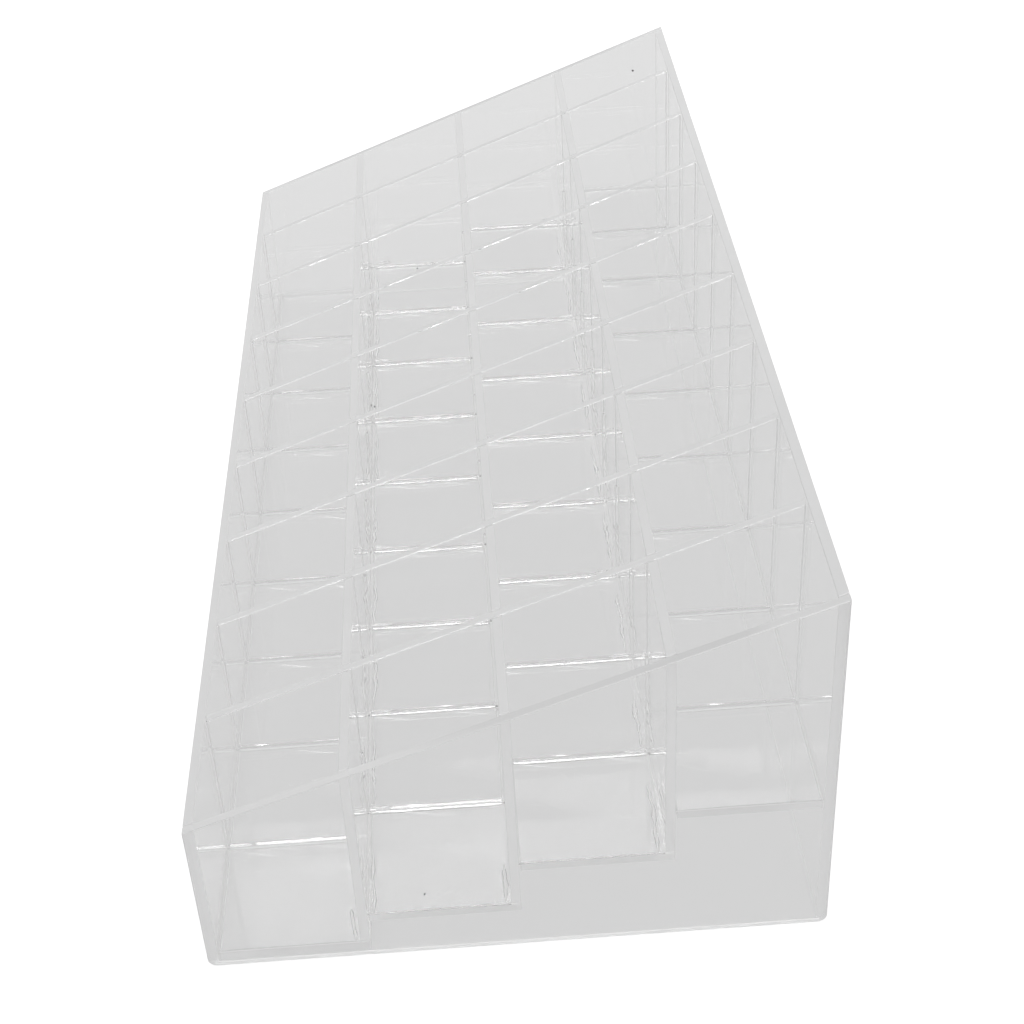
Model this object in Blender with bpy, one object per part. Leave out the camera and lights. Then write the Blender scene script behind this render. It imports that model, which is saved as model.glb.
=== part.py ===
"""Nail polish rack: a low stepped display rack made of clear acrylic sheets cemented together.

Four tiers of square pockets rise from the low front to the high back. Cross partitions run from front
to back and long dividers run from end to end. They are halved into each other like an egg crate, so
each keeps its full length. Tier floors step up towards the back, and everything above them ends in one
slanted rim plane.

Metres, +Z up. The front is -Y and the length is along X. The origin is at the bottom centre.
"""

import math

import bmesh
import bpy
from mathutils import Matrix, Vector

# Driving dimensions
PITCH = 0.0230  # centre to centre of neighbouring sheets, both ways, so the pockets are square
COLUMNS = 9  # pockets along the length
TIERS = 4  # pockets from front to back
SHEET = 0.0015  # thickness of every sheet but the lowest floor
BASE_SHEET = 0.0020  # thickness of the lowest floor, which lies on the table
FRONT_HEIGHT = 0.0280  # rim height at the front face
BACK_HEIGHT = 0.0620  # rim height at the back face
SECOND_FLOOR_TOP = 0.0078  # top of the second tier's floor
CORNER_RADIUS = 0.0014  # rounded lower outer edges
GAP = 0.0002  # cement gap between a sheet and the one it meets
EDGE_BREAK = 0.00012  # polished edge chamfer

# Derived dimensions
LENGTH = COLUMNS * PITCH + SHEET
DEPTH = TIERS * PITCH + SHEET
RIM_SLOPE = (BACK_HEIGHT - FRONT_HEIGHT) / DEPTH
FLOOR_RISE = RIM_SLOPE * PITCH
INNER_LENGTH = LENGTH - 2 * (SHEET + GAP)
SLOT_WIDTH = SHEET + 2 * GAP

ACRYLIC_COLOUR = (0.93, 0.94, 0.94, 1.0)
ACRYLIC_ROUGHNESS = 0.04
ACRYLIC_IOR = 1.49


def rim_height(y):
    """Height of the slanted rim plane at depth y."""
    return FRONT_HEIGHT + RIM_SLOPE * (y + DEPTH / 2)


def row_y(index):
    """Mid-plane of the sheet across the depth: 0 is the front panel, TIERS the back panel."""
    return -DEPTH / 2 + SHEET / 2 + index * PITCH


def column_x(index):
    """Mid-plane of the sheet across the length: 0 is the left end panel, COLUMNS the right one."""
    return -LENGTH / 2 + SHEET / 2 + index * PITCH


def floor_top(tier):
    """Top face of a tier's floor. Tier 1 is the front one."""
    if tier == 1:
        return BASE_SHEET
    return SECOND_FLOOR_TOP + (tier - 2) * FLOOR_RISE


def halving_height(row):
    """Height where a long divider and a cross partition meet in their halved joint."""
    return (floor_top(row) + rim_height(row_y(row))) / 2


def rounded_corner(y, z, radius, first_angle):
    """Points of a quarter circle about (y, z), a quarter turn on from first_angle."""
    steps = 6
    angles = [first_angle + math.pi / 2 * step / steps for step in range(steps + 1)]
    return [(y + radius * math.cos(a), z + radius * math.sin(a)) for a in angles]


def end_panel_outline():
    """(y, z) outline of an end panel: a trapezoid with its two bottom corners rounded."""
    half = DEPTH / 2
    reach = half - CORNER_RADIUS
    outline = rounded_corner(-reach, CORNER_RADIUS, CORNER_RADIUS, math.pi)
    outline += rounded_corner(reach, CORNER_RADIUS, CORNER_RADIUS, -math.pi / 2)
    outline += [(half, BACK_HEIGHT), (-half, FRONT_HEIGHT)]
    return outline


def long_panel_outline(row):
    """(y, z) section of the front or back panel, with its outer bottom edge rounded."""
    y = row_y(row)
    front, back = y - SHEET / 2, y + SHEET / 2
    if row == 0:
        corner = rounded_corner(front + CORNER_RADIUS, CORNER_RADIUS, CORNER_RADIUS, math.pi)
        outline = corner + [(back, 0)]
    else:
        corner = rounded_corner(back - CORNER_RADIUS, CORNER_RADIUS, CORNER_RADIUS, -math.pi / 2)
        outline = [(front, 0)] + corner
    return outline + [(back, rim_height(back)), (front, rim_height(front))]


def tier_floor_outline(tier):
    """(y, z) section of a tier floor. It butts against the riser in front and runs under the one behind."""
    front = row_y(tier - 1) + SHEET / 2 + GAP
    back = row_y(tier) + SHEET / 2
    if tier == TIERS:
        back = row_y(tier) - SHEET / 2 - GAP
    top = floor_top(tier)
    bottom = 0 if tier == 1 else top - SHEET
    return [(front, bottom), (back, bottom), (back, top), (front, top)]


def cross_partition_outline():
    """(y, z) outline of a cross partition: a stepped bottom, and slots from below that straddle the dividers."""
    front = row_y(0) + SHEET / 2 + GAP
    back = row_y(TIERS) - SHEET / 2 - GAP
    outline = [(front, floor_top(1) + GAP)]
    for row in range(1, TIERS):
        slot_front = row_y(row) - SLOT_WIDTH / 2
        slot_back = row_y(row) + SLOT_WIDTH / 2
        slot_top = halving_height(row) + GAP / 2
        outline.append((slot_front, floor_top(row) + GAP))
        outline.append((slot_front, slot_top))
        outline.append((slot_back, slot_top))
        outline.append((slot_back, floor_top(row + 1) + GAP))
    outline.append((back, floor_top(TIERS) + GAP))
    return outline + [(back, rim_height(back)), (front, rim_height(front))]


def long_divider_outline(row):
    """(x, z) outline of a long divider: a comb whose slots, open at the rim, take the cross partitions."""
    half = INNER_LENGTH / 2
    bottom = floor_top(row) + GAP
    rim = rim_height(row_y(row))
    slot_bottom = halving_height(row) - GAP / 2
    outline = [(-half, bottom), (half, bottom), (half, rim)]
    for column in reversed(range(1, COLUMNS)):
        slot_right = column_x(column) + SLOT_WIDTH / 2
        slot_left = column_x(column) - SLOT_WIDTH / 2
        outline += [(slot_right, rim), (slot_right, slot_bottom)]
        outline += [(slot_left, slot_bottom), (slot_left, rim)]
    return outline + [(-half, rim)]


def sheet_mesh(name, points, extrusion):
    """A closed solid: the flat outline through the points, extruded along a vector."""
    mesh = bpy.data.meshes.new(name)
    shape = bmesh.new()
    face = shape.faces.new([shape.verts.new(point) for point in points])
    extruded = bmesh.ops.extrude_face_region(shape, geom=[face])
    moved = [item for item in extruded["geom"] if isinstance(item, bmesh.types.BMVert)]
    bmesh.ops.translate(shape, verts=moved, vec=extrusion)
    bmesh.ops.recalc_face_normals(shape, faces=shape.faces)
    shape.to_mesh(mesh)
    shape.free()
    return mesh


def mesh_across_length(name, outline, thickness):
    """Mesh of a (y, z) outline, with its thickness centred on x = 0."""
    points = [(-thickness / 2, y, z) for y, z in outline]
    return sheet_mesh(name, points, Vector((thickness, 0, 0)))


def mesh_across_depth(name, outline, row):
    """Mesh of an (x, z) outline, with its thickness centred on y = 0 and its rim edge cut to the slant."""
    points = [(x, -SHEET / 2, z) for x, z in outline]
    mesh = sheet_mesh(name, points, Vector((0, SHEET, 0)))
    rim = rim_height(row_y(row))
    for vertex in mesh.vertices:
        if math.isclose(vertex.co.z, rim, abs_tol=EDGE_BREAK):
            vertex.co.z = rim_height(row_y(row) + vertex.co.y)
    return mesh


def clear_acrylic(name):
    """Colourless, water-clear acrylic."""
    material = bpy.data.materials.new(name)
    material.use_nodes = True
    shader = material.node_tree.nodes["Principled BSDF"]
    shader.inputs["Base Color"].default_value = ACRYLIC_COLOUR
    shader.inputs["Roughness"].default_value = ACRYLIC_ROUGHNESS
    shader.inputs["Metallic"].default_value = 0.0
    shader.inputs["IOR"].default_value = ACRYLIC_IOR
    shader.inputs["Transmission Weight"].default_value = 1.0
    return material


def place_sheet(name, mesh, location, rack):
    """Adds one sheet to the rack, with its own acrylic material and lightly chamfered edges."""
    sheet = bpy.data.objects.new(name, mesh)
    sheet.location = location
    sheet.parent = rack
    mesh.materials.append(clear_acrylic(name))
    chamfer = sheet.modifiers.new("edge_break", "BEVEL")
    chamfer.width = EDGE_BREAK
    chamfer.segments = 1
    chamfer.limit_method = "ANGLE"
    chamfer.angle_limit = math.radians(40)
    bpy.context.scene.collection.objects.link(sheet)
    return sheet


def build_end_panels(rack):
    for side, column in (("left", 0), ("right", COLUMNS)):
        name = f"end_panel_{side}"
        mesh = mesh_across_length(name, end_panel_outline(), SHEET)
        place_sheet(name, mesh, (column_x(column), 0, 0), rack)


def build_front_and_back(rack):
    for name, row in (("front_panel", 0), ("back_panel", TIERS)):
        mesh = mesh_across_length(name, long_panel_outline(row), INNER_LENGTH)
        mesh.transform(Matrix.Translation((0, -row_y(row), 0)))
        place_sheet(name, mesh, (0, row_y(row), 0), rack)


def build_tier_floors(rack):
    for tier in range(1, TIERS + 1):
        name = f"tier_floor_{tier}"
        mesh = mesh_across_length(name, tier_floor_outline(tier), INNER_LENGTH)
        middle = (row_y(tier - 1) + row_y(tier)) / 2
        mesh.transform(Matrix.Translation((0, -middle, -floor_top(tier))))
        place_sheet(name, mesh, (0, middle, floor_top(tier)), rack)


def build_long_dividers(rack):
    for row in range(1, TIERS):
        name = f"long_divider_{row}"
        mesh = mesh_across_depth(name, long_divider_outline(row), row)
        place_sheet(name, mesh, (0, row_y(row), 0), rack)


def build_cross_partitions(rack):
    for column in range(1, COLUMNS):
        name = f"cross_partition_{column}"
        mesh = mesh_across_length(name, cross_partition_outline(), SHEET)
        place_sheet(name, mesh, (column_x(column), 0, 0), rack)


def build_rack():
    for old in list(bpy.data.objects):
        bpy.data.objects.remove(old)
    rack = bpy.data.objects.new("nail_polish_rack", None)
    bpy.context.scene.collection.objects.link(rack)
    build_end_panels(rack)
    build_front_and_back(rack)
    build_tier_floors(rack)
    build_long_dividers(rack)
    build_cross_partitions(rack)


build_rack()
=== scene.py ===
"""Looks for the nail polish rack: clear acrylic sheets, joined by solvent cement, on a pale studio floor."""

import math

import bmesh
import bpy
from mathutils import Euler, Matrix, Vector, noise


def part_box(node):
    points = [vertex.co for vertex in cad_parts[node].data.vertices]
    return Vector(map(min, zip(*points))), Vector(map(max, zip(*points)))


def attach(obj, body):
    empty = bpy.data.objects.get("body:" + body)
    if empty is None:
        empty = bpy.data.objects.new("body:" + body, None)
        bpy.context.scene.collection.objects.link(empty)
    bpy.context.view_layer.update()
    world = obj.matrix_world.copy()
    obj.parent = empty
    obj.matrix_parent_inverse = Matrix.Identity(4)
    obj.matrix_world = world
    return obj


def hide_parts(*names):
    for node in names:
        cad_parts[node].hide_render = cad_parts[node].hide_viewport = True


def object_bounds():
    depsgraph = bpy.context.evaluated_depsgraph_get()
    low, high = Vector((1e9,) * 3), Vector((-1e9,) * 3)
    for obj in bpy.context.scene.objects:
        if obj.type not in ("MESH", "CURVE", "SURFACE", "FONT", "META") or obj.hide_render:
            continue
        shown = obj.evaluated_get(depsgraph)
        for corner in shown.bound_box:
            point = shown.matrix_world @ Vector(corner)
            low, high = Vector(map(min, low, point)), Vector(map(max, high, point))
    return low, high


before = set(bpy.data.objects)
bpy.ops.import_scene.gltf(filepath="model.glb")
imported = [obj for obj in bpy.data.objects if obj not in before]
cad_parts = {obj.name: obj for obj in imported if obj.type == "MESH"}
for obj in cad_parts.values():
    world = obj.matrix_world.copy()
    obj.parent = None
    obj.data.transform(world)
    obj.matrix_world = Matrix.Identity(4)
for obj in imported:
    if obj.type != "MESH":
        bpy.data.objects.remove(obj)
cad_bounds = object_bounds()

# The rack
COLUMNS = 9
TIERS = 4
THIN_AXES = {
    "end_panel": 0,
    "cross_partition": 0,
    "front_panel": 1,
    "back_panel": 1,
    "long_divider": 1,
    "tier_floor": 2,
}

# Points nearer than this, in metres, are one point, and faces that meet at less than this, in degrees, are
# one face.
MERGE_DISTANCE = 0.000001
FLAT_ANGLE = 1
# A face belongs to a sheet's broad sides, rims or highlights by how far its normal leans.
BROAD_LEAN = 0.95
RIM_LEAN = 0.3
HIGHLIGHT_LEAN = 0.5

# Cement, in metres. The middle tiers were cemented most generously, and their beads are the clear ones.
FOOT_BEAD = {1: 0.00035, 2: 0.00042, 3: 0.00042, 4: 0.00035}
END_BEAD = 0.00035
CLEAR_TIERS = (2, 3)
# How much further a bead reaches along the floor than up the sheet.
BEAD_SPREAD = 1.2
BEAD_CLEARANCE = 0.00003
BEAD_STEP = 0.0007
BEAD_ARC_STEPS = 5
# Each waver is a smooth noise: its height, its rate per metre, its step from seed to seed, and its layer.
BEAD_SWELL = (0.2, 120, 7.31, 0.5)
BEAD_RIPPLE = (0.03, 700, 3.17, 4.5)
RUN_DRIFT = (1.0, 200, 5.7, 1.5)
RUN_SHAKE = (0.5, 600, 2.9, 7.5)
RUN_SWELL = (0.8, 450, 4.3, 3.5)
# Each taper: the girth at both ends, and its growth per length of the bead or run, up to 1.
BEAD_TAPER = (0.55, 6)
RUN_TAPER = (0.15, 5)
# A run is up to this many times as thick as its nominal size.
RUN_MOST_GIRTH = 1.8
# Each set of runs: its piece's name and how much of the full girth it fills. The cores are white, a painted
# highlight inside the clear threads.
RUN_SETS = {"cement_runs": 1.0, "run_cores_painted_highlight": 0.4}
# Runs of cement follow these feet, by tier and by the row of the divider that they cling to.
RUN_CORNERS = ((2, 1), (3, 3))
# Sizes are half width and half height, and a wander is how far a run strays sideways.
RUN_SIZE = (0.00025, 0.00025)
RUN_WANDER = 0.0004
CROSS_RUN_RISE = 0.0002
CROSS_RUN_LENGTH = 0.004
FILM_SIZE = (0.0003, 0.0004)
FILM_WANDER = 0.0002
RUN_STEP = 0.0004
RUN_SIDES = 6
# A run stops short of one side of its pocket by about this share of the pocket's width.
RUN_TRIM = 0.25
# Squeezed-out cement at the near ends of two dividers: row, and its lowest and highest point.
RISER_FILM = ((1, 0.0022, 0.0090), (2, 0.0080, 0.0158))
# Tiny inclusions in the sheets: place and radius.
SPECKS = (
    ((0.0996, -0.0136, 0.0081), 0.00016),
    ((-0.1035, 0.0402, 0.0524), 0.00025),
    ((-0.1035, -0.0182, 0.0165), 0.0002),
    ((-0.1002, -0.0121, 0.0081), 0.0002),
    ((-0.0598, -0.0460, 0.0123), 0.00025),
    ((-0.0395, -0.0219, 0.0081), 0.0002),
)
# How uneven a speck is, as a share of its radius, and the rate per metre of the noise that does it.
SPECK_UNEVENNESS = 0.35
SPECK_NOISE_RATE = 6000

# Camera, in metres and degrees
CAMERA_PLACE = (0.2923, -0.0018, 0.2141)
CAMERA_TURN = (54.476, 2.571, 86.836)
CAMERA_LENS = 64.6

# Light. As in a cut-out product picture, the surroundings look white to the camera, but pale grey to the
# acrylic.
SEEN_WORLD = 1.0
LIT_WORLD = 0.595
SEEN_FLOOR_GLOW = 0.45
FLOOR_SHADE = 0.88
FLOOR_HALF_SIZE = 3.0
FLOOR_CLEARANCE = 0.0002
# Each softbox: place and size in metres, turn in degrees, watts, and which surfaces show it, matt or
# polished.
SOFTBOXES = {
    "table_softbox": ((-0.28, 0.0, 0.5), (0.3, 0.3), (0, 0, 0), 0.72, "matt"),
    "fill_softbox": ((0.9, 0.0, 0.35), (0.5, 0.8), (0, 70, 0), 0.9, "matt"),
    "foot_line_softbox": ((0.55, 0.0, 0.8), (0.6, 0.5), (0, 0, 0), 6.0, "polished"),
    "rim_line_softbox": ((0.6, -0.65, 0.8), (1.0, 0.8), (0, 0, 0), 3.8, "polished"),
}

# Acrylic
ACRYLIC_IOR = 1.49
ABSORPTION_COLOUR = (0.6, 0.6, 0.6, 1)
ABSORPTION_DENSITY = 0.5
# Scale and detail of the noises that make its thin film, its smudges and its waves
FILM_NOISE = (45, 3)
SMUDGE_NOISE = (160, 4)
WAVE_NOISE = (120, 2)
SMUDGE_ROUGHNESS = 0.02
# Each look: its clear share, roughness, shade, the depth of its cloudy film, and wave height in metres.
LOOKS = {
    "acrylic_face": (1.0, 0.01, 1.0, 0.003, 0.000004),
    # Rims facing up are painted a little darker, a painted shade against the light from above; the other
    # edges are painted a little lighter, a painted light for sides that get less.
    "satin_rim_painted_shade": (0.15, 0.25, 0.945, 0.03, 0.00001),
    "side_edge_painted_light": (0.1, 0.25, 0.96, 0.03, 0.00001),
    "clear_cement": (0.92, 0.0, 1.0, 0.02, 0.000003),
    "milky_cement": (0.15, 0.5, 0.93, 0.02, 0.000003),
    # White cores of the runs: a painted highlight.
    "painted_highlight_cement": (0.1, 0.3, 1.0, 0.02, 0.000003),
    "inclusion": (0.0, 0.4, 0.3, 0.1, 0.00001),
}


def new_object(name, mesh):
    piece = bpy.data.objects.new(name, mesh)
    bpy.context.scene.collection.objects.link(piece)
    return piece


def link_shader_with_open_shadows(material, shader):
    """Lamps and diffuse light pass straight through the flat sheets, as they nearly do through real ones."""
    nodes = material.node_tree.nodes
    links = material.node_tree.links
    path = nodes.new("ShaderNodeLightPath")
    either = nodes.new("ShaderNodeMath")
    either.operation = "MAXIMUM"
    links.new(path.outputs["Is Shadow Ray"], either.inputs[0])
    links.new(path.outputs["Is Diffuse Ray"], either.inputs[1])
    let_through = nodes.new("ShaderNodeBsdfTransparent")
    let_through.inputs["Color"].default_value = (0.999, 0.999, 0.999, 1)
    mix = nodes.new("ShaderNodeMixShader")
    links.new(either.outputs["Value"], mix.inputs["Fac"])
    links.new(shader.outputs["BSDF"], mix.inputs[1])
    links.new(let_through.outputs["BSDF"], mix.inputs[2])
    links.new(mix.outputs["Shader"], nodes["Material Output"].inputs["Surface"])


def noise_node(nodes, links, coordinates, scale, detail):
    texture = nodes.new("ShaderNodeTexNoise")
    texture.inputs["Scale"].default_value = scale
    texture.inputs["Detail"].default_value = detail
    links.new(coordinates, texture.inputs["Vector"])
    return texture


def mapped(nodes, links, value, low, high, to_low, to_high):
    """The value, remapped from low..high to to_low..to_high and clamped."""
    remap = nodes.new("ShaderNodeMapRange")
    remap.inputs["From Min"].default_value = low
    remap.inputs["From Max"].default_value = high
    remap.inputs["To Min"].default_value = to_low
    remap.inputs["To Max"].default_value = to_high
    links.new(value, remap.inputs["Value"])
    return remap.outputs["Result"]


def acrylic_material(name, clear_share, roughness, shade, haze, wave_height):
    """Acrylic with faint waves in its surface, smudges in its polish and a thin cloudy film on it."""
    material = bpy.data.materials.new(name)
    material.use_nodes = True
    nodes = material.node_tree.nodes
    links = material.node_tree.links
    shader = nodes["Principled BSDF"]
    shader.inputs["IOR"].default_value = ACRYLIC_IOR
    shader.inputs["Transmission Weight"].default_value = clear_share
    coordinates = nodes.new("ShaderNodeTexCoord").outputs["Object"]
    clouds = noise_node(nodes, links, coordinates, *FILM_NOISE)
    film = mapped(nodes, links, clouds.outputs["Fac"], 0.35, 0.65, shade - haze, shade)
    links.new(film, shader.inputs["Base Color"])
    smudges = noise_node(nodes, links, coordinates, *SMUDGE_NOISE)
    smudged = roughness + SMUDGE_ROUGHNESS
    polish = mapped(nodes, links, smudges.outputs["Fac"], 0.45, 0.75, roughness, smudged)
    links.new(polish, shader.inputs["Roughness"])
    waves = noise_node(nodes, links, coordinates, *WAVE_NOISE)
    bump = nodes.new("ShaderNodeBump")
    bump.inputs["Distance"].default_value = wave_height
    bump.inputs["Strength"].default_value = 1.0
    links.new(waves.outputs["Fac"], bump.inputs["Height"])
    links.new(bump.outputs["Normal"], shader.inputs["Normal"])
    absorption = nodes.new("ShaderNodeVolumeAbsorption")
    absorption.inputs["Color"].default_value = ABSORPTION_COLOUR
    absorption.inputs["Density"].default_value = ABSORPTION_DENSITY
    links.new(absorption.outputs["Volume"], nodes["Material Output"].inputs["Volume"])
    link_shader_with_open_shadows(material, shader)
    return material


def waver(distance, seed, pattern):
    """Smooth noise along a bead or a run, the same each time for the same seed."""
    height, rate, seed_step, layer = pattern
    return height * noise.noise(Vector((distance * rate, seed * seed_step, layer)))


def tapered(share, taper):
    """Girth at this share of the length of a bead or a run: small at both ends and 1 in the middle."""
    end_girth, growth = taper
    return min(1.0, end_girth + growth * min(share, 1 - share))


def join_rings(shape, ring, next_ring, smooth_sides):
    """Side faces from one ring of points to the next. The sides in smooth_sides are shaded smooth."""
    for side in range(len(ring)):
        following = (side + 1) % len(ring)
        face = shape.faces.new((ring[side], ring[following], next_ring[following], next_ring[side]))
        face.smooth = side in smooth_sides


def family_of(node_name):
    return next(family for family in THIN_AXES if node_name.startswith(family))


def build_sheet(node_name, materials):
    """One acrylic sheet: the CAD solid with clear faces and edge breaks, satin rims with painted shade, and
    other edges, many cemented, with painted light.
    """
    family = family_of(node_name)
    axis = THIN_AXES[family]
    shape = bmesh.new()
    shape.from_mesh(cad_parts[node_name].data)
    bmesh.ops.remove_doubles(shape, verts=shape.verts, dist=MERGE_DISTANCE)
    flat = math.radians(FLAT_ANGLE)
    bmesh.ops.dissolve_limit(shape, angle_limit=flat, verts=shape.verts, edges=shape.edges)
    polished_foot = family in ("cross_partition", "long_divider")
    for face in shape.faces:
        normal = face.normal
        is_foot = polished_foot and normal.z < -RIM_LEAN
        is_edge = abs(normal[axis]) < BROAD_LEAN and not is_foot
        is_rim = is_edge and normal.z > RIM_LEAN
        is_highlight = family == "cross_partition" and is_rim and normal.x > HIGHLIGHT_LEAN
        # Upward rims get the rim look with painted shade; the other edges get the edge look with painted
        # light.
        face.material_index = 0 if is_highlight else 1 if is_rim else 2 if is_edge else 0
    mesh = bpy.data.meshes.new(f"{node_name}_sheet")
    shape.to_mesh(mesh)
    shape.free()
    for material in materials:
        mesh.materials.append(material)
    piece = new_object(f"{node_name}_sheet", mesh)
    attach(piece, "root")
    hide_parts(node_name)


def row_box(row):
    """Box of the sheet behind tier `row`: 0 is the front panel and TIERS the back panel."""
    if row == 0:
        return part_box("front_panel")
    if row == TIERS:
        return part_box("back_panel")
    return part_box(f"long_divider_{row}")


def column_box(column):
    """Box of the sheet right of pocket column `column`: 0 is the left end panel, COLUMNS the right one."""
    if column == 0:
        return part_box("end_panel_left")
    if column == COLUMNS:
        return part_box("end_panel_right")
    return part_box(f"cross_partition_{column}")


def add_bead(shape, start, end, side_a, side_b, radius, seed):
    """A cement bead: a concave fillet along the corner line from start to end, its size wavering."""
    start, end = Vector(start), Vector(end)
    side_a, side_b = Vector(side_a), Vector(side_b)
    along = end - start
    count = max(4, round(along.length / BEAD_STEP))
    rings = []
    for index in range(count + 1):
        share = index / count
        distance = share * along.length
        swell = waver(distance, seed, BEAD_SWELL)
        ripple = waver(distance, seed, BEAD_RIPPLE)
        size_b = radius * (1 + swell + ripple) * tapered(share, BEAD_TAPER)
        size_a = size_b * BEAD_SPREAD
        corner = start + along * share + (side_a + side_b) * BEAD_CLEARANCE
        points = [corner]
        for step in range(BEAD_ARC_STEPS + 1):
            angle = math.pi / 2 * step / BEAD_ARC_STEPS
            reach = size_a * (1 - math.sin(angle))
            climb = size_b * (1 - math.cos(angle))
            points.append(corner + side_a * reach + side_b * climb)
        rings.append([shape.verts.new(point) for point in points])
        if index:
            join_rings(shape, rings[-2], rings[-1], range(1, BEAD_ARC_STEPS + 1))
    shape.faces.new(rings[0])
    shape.faces.new(rings[-1][::-1])


def add_run(shape, start, end, out, across, size, wander, fill, seed):
    """A run of cement: a flat thread that clings to a sheet and wanders across it. fill scales its girth."""
    half_width, half_height = size
    start, end = Vector(start), Vector(end)
    out, across = Vector(out), Vector(across)
    along = end - start
    count = max(6, round(along.length / RUN_STEP))
    rings = []
    for index in range(count + 1):
        share = index / count
        distance = share * along.length
        girth = fill * (1 + waver(distance, seed, RUN_SWELL)) * tapered(share, RUN_TAPER)
        shift = 1 + waver(distance, seed, RUN_DRIFT) + waver(distance, seed, RUN_SHAKE)
        aside = RUN_MOST_GIRTH * half_width + wander * max(0.0, shift)
        centre = start + along * share + across * aside + out * (half_height + BEAD_CLEARANCE)
        verts = []
        for side in range(RUN_SIDES):
            angle = 2 * math.pi * side / RUN_SIDES
            wide = across * (math.cos(angle) * half_width)
            high = out * (math.sin(angle) * half_height / RUN_MOST_GIRTH)
            verts.append(shape.verts.new(centre + (wide + high) * girth))
        rings.append(verts)
        if index:
            join_rings(shape, rings[-2], rings[-1], range(RUN_SIDES))
    shape.faces.new(rings[0])
    shape.faces.new(rings[-1])


def pocket_planes(tier, column):
    """The inner planes of one pocket: its left, right, front, back and floor."""
    left = column_box(column - 1)[1].x
    right = column_box(column)[0].x
    front = row_box(tier - 1)[1].y
    back = row_box(tier)[0].y
    return left, right, front, back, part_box(f"tier_floor_{tier}")[1].z


def build_foot_bead(shape, tier, column):
    """The bead along the foot of the cross sheet on the far side of one pocket."""
    left, _, front, back, floor = pocket_planes(tier, column)
    start = (left, front, floor)
    end = (left, back, floor)
    add_bead(shape, start, end, (1, 0, 0), (0, 0, 1), FOOT_BEAD[tier], tier * 100 + column * 10)


def build_end_bead(shape, tier):
    """The bead along the foot of the near end panel in one tier."""
    _, right, front, back, floor = pocket_planes(tier, COLUMNS)
    start = (right, front, floor)
    end = (right, back, floor)
    add_bead(shape, start, end, (-1, 0, 0), (0, 0, 1), END_BEAD, tier * 100)


def build_pocket_runs(shape, tier, column, row, fill):
    """Two threads of cement along a divider's foot in one pocket, and one on the cross sheet beside them."""
    left, right, front, back, floor = pocket_planes(tier, column)
    y, away = (front, 1) if row == tier - 1 else (back, -1)
    seed = tier * 37 + column * 11
    out = (0, away, 0)
    up = (0, 0, 1)
    trim = (right - left) * RUN_TRIM * (1 + noise.noise(Vector((seed, 0.5, 0.5))))
    lower_end = (right - trim, y, floor)
    add_run(shape, (left, y, floor), lower_end, out, up, RUN_SIZE, RUN_WANDER, fill, seed)
    upper_start = (left + trim, y, floor)
    add_run(shape, upper_start, (right, y, floor), up, out, RUN_SIZE, RUN_WANDER, fill, seed + 1)
    foot = (left, y, floor + CROSS_RUN_RISE)
    tip = (left, y + away * CROSS_RUN_LENGTH, floor + CROSS_RUN_RISE)
    add_run(shape, foot, tip, (1, 0, 0), up, RUN_SIZE, RUN_WANDER, fill, seed + 2)


def build_riser_film(shape, fill):
    """Squeezed-out cement on the near end panel, in front of the near ends of two dividers."""
    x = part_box("end_panel_right")[0].x
    for row, low, high in RISER_FILM:
        y = row_box(row)[0].y
        foot, top = (x, y, low), (x, y, high)
        add_run(shape, foot, top, (-1, 0, 0), (0, -1, 0), FILM_SIZE, FILM_WANDER, fill, row)


def add_cement_piece(name, shape, material):
    bmesh.ops.recalc_face_normals(shape, faces=shape.faces)
    mesh = bpy.data.meshes.new(name)
    shape.to_mesh(mesh)
    shape.free()
    mesh.materials.append(material)
    piece = new_object(name, mesh)
    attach(piece, "root")


def build_beads(clear_material, milky_material):
    for tier in range(1, TIERS + 1):
        beads = bmesh.new()
        for column in range(1, COLUMNS + 1):
            build_foot_bead(beads, tier, column)
        build_end_bead(beads, tier)
        material = clear_material if tier in CLEAR_TIERS else milky_material
        add_cement_piece(f"cement_beads_tier_{tier}", beads, material)


def build_runs(name, material):
    """One set of runs: the clear threads, or the white cores inside them, which are a painted highlight."""
    fill = RUN_SETS[name]
    runs = bmesh.new()
    for tier, row in RUN_CORNERS:
        for column in range(1, COLUMNS + 1):
            build_pocket_runs(runs, tier, column, row, fill)
    build_riser_film(runs, fill)
    add_cement_piece(name, runs, material)


def build_specks(material):
    """Tiny lumps, each a ball with an uneven surface."""
    specks = bmesh.new()
    for place, radius in SPECKS:
        made = bmesh.ops.create_icosphere(specks, subdivisions=2, radius=radius)
        for vert in made["verts"]:
            vert.co *= 1 + SPECK_UNEVENNESS * noise.noise(vert.co * SPECK_NOISE_RATE)
        bmesh.ops.translate(specks, verts=made["verts"], vec=place)
    add_cement_piece("inclusions", specks, material)


def mix_by_camera_ray(tree, seen, lit):
    """A Mix node's float result: seen for the camera's own rays and lit for all others."""
    path = tree.nodes.new("ShaderNodeLightPath")
    mix = tree.nodes.new("ShaderNodeMix")
    mix.inputs["A"].default_value = lit
    mix.inputs["B"].default_value = seen
    tree.links.new(path.outputs["Is Camera Ray"], mix.inputs["Factor"])
    return mix.outputs["Result"]


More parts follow.
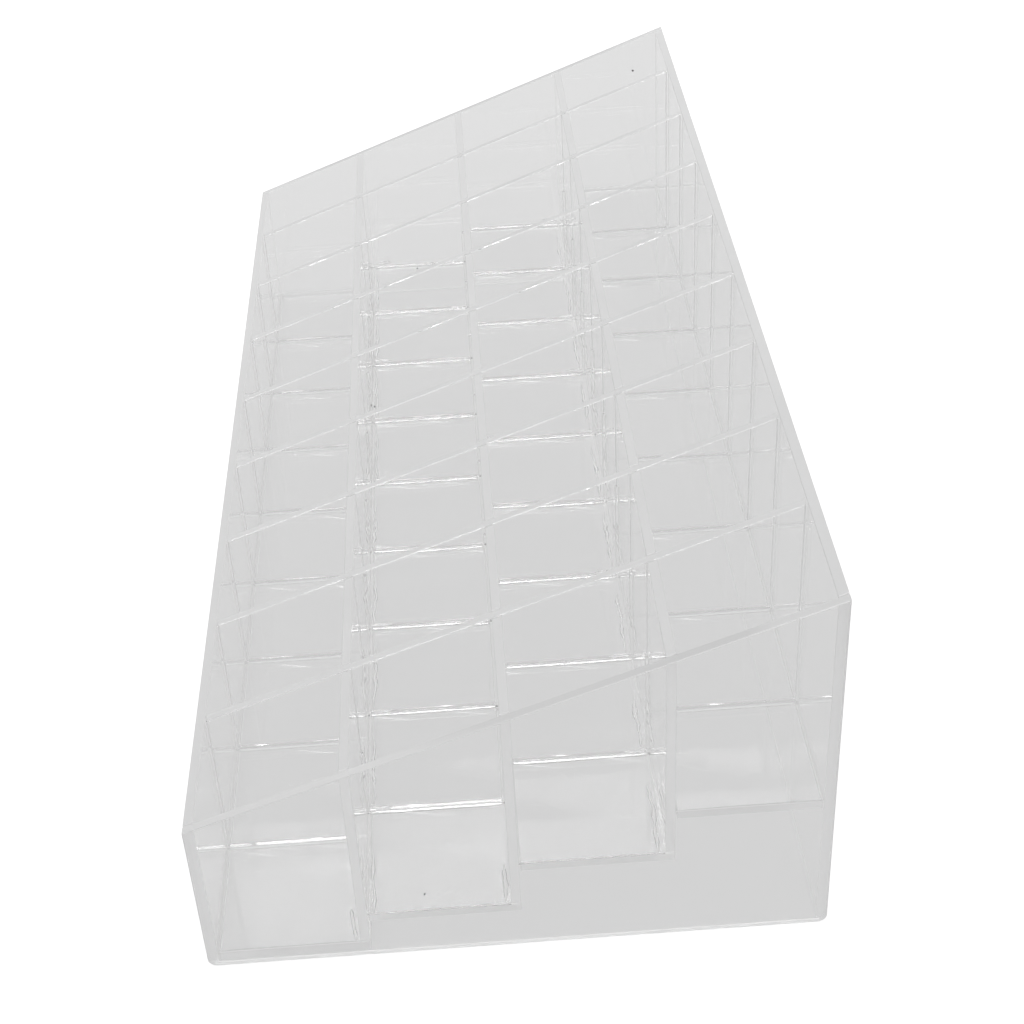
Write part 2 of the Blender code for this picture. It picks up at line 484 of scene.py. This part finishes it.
def build_floor():
    shape = bmesh.new()
    bmesh.ops.create_grid(shape, x_segments=1, y_segments=1, size=FLOOR_HALF_SIZE)
    mesh = bpy.data.meshes.new("studio_floor")
    shape.to_mesh(mesh)
    shape.free()
    floor = new_object("studio_floor", mesh)
    floor.location.z = cad_bounds[0][2] - FLOOR_CLEARANCE
    material = bpy.data.materials.new("studio_floor")
    material.use_nodes = True
    shader = material.node_tree.nodes["Principled BSDF"]
    shader.inputs["Base Color"].default_value = (FLOOR_SHADE, FLOOR_SHADE, FLOOR_SHADE, 1)
    shader.inputs["Roughness"].default_value = 0.9
    shader.inputs["Specular IOR Level"].default_value = 0.0
    shader.inputs["Emission Color"].default_value = (1, 1, 1, 1)
    glow = mix_by_camera_ray(material.node_tree, SEEN_FLOOR_GLOW, 0.0)
    material.node_tree.links.new(glow, shader.inputs["Emission Strength"])
    mesh.materials.append(material)


def build_world():
    world = bpy.data.worlds.new("studio")
    world.use_nodes = True
    background = world.node_tree.nodes["Background"]
    background.inputs["Color"].default_value = (1, 1, 1, 1)
    strength = mix_by_camera_ray(world.node_tree, SEEN_WORLD, LIT_WORLD)
    world.node_tree.links.new(strength, background.inputs["Strength"])
    bpy.context.scene.world = world


def build_softbox(name, place, size, turn, watts, shown_by):
    data = bpy.data.lights.new(name, "AREA")
    data.shape = "RECTANGLE"
    data.size, data.size_y = size
    data.energy = watts
    light = new_object(name, data)
    light.location = place
    light.rotation_euler = [math.radians(angle) for angle in turn]
    light.visible_diffuse = shown_by == "matt"
    light.visible_glossy = shown_by == "polished"
    light.visible_transmission = shown_by == "polished"


def build_camera():
    data = bpy.data.cameras.new("camera")
    data.lens = CAMERA_LENS
    data.clip_start = 0.01
    camera = new_object("camera", data)
    camera.location = CAMERA_PLACE
    camera.rotation_euler = Euler([math.radians(turn) for turn in CAMERA_TURN], "XYZ")
    bpy.context.scene.camera = camera


def set_light_paths():
    """A line of sight crosses many sheets, so refraction needs long paths."""
    scene = bpy.context.scene
    scene.view_settings.view_transform = "Standard"
    scene.cycles.max_bounces = 64
    scene.cycles.transmission_bounces = 64
    scene.cycles.glossy_bounces = 16
    scene.cycles.transparent_max_bounces = 64
    scene.cycles.caustics_refractive = False


looks = {name: acrylic_material(name, *settings) for name, settings in LOOKS.items()}
sheet_looks = [looks["acrylic_face"], looks["satin_rim_painted_shade"], looks["side_edge_painted_light"]]
for node_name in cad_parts:
    build_sheet(node_name, sheet_looks)
build_beads(looks["clear_cement"], looks["milky_cement"])
build_runs("cement_runs", looks["clear_cement"])
# The white cores are a painted highlight along the runs.
build_runs("run_cores_painted_highlight", looks["painted_highlight_cement"])
build_specks(looks["inclusion"])
build_floor()
build_world()
for softbox_name, settings in SOFTBOXES.items():
    build_softbox(softbox_name, *settings)
build_camera()
set_light_paths()
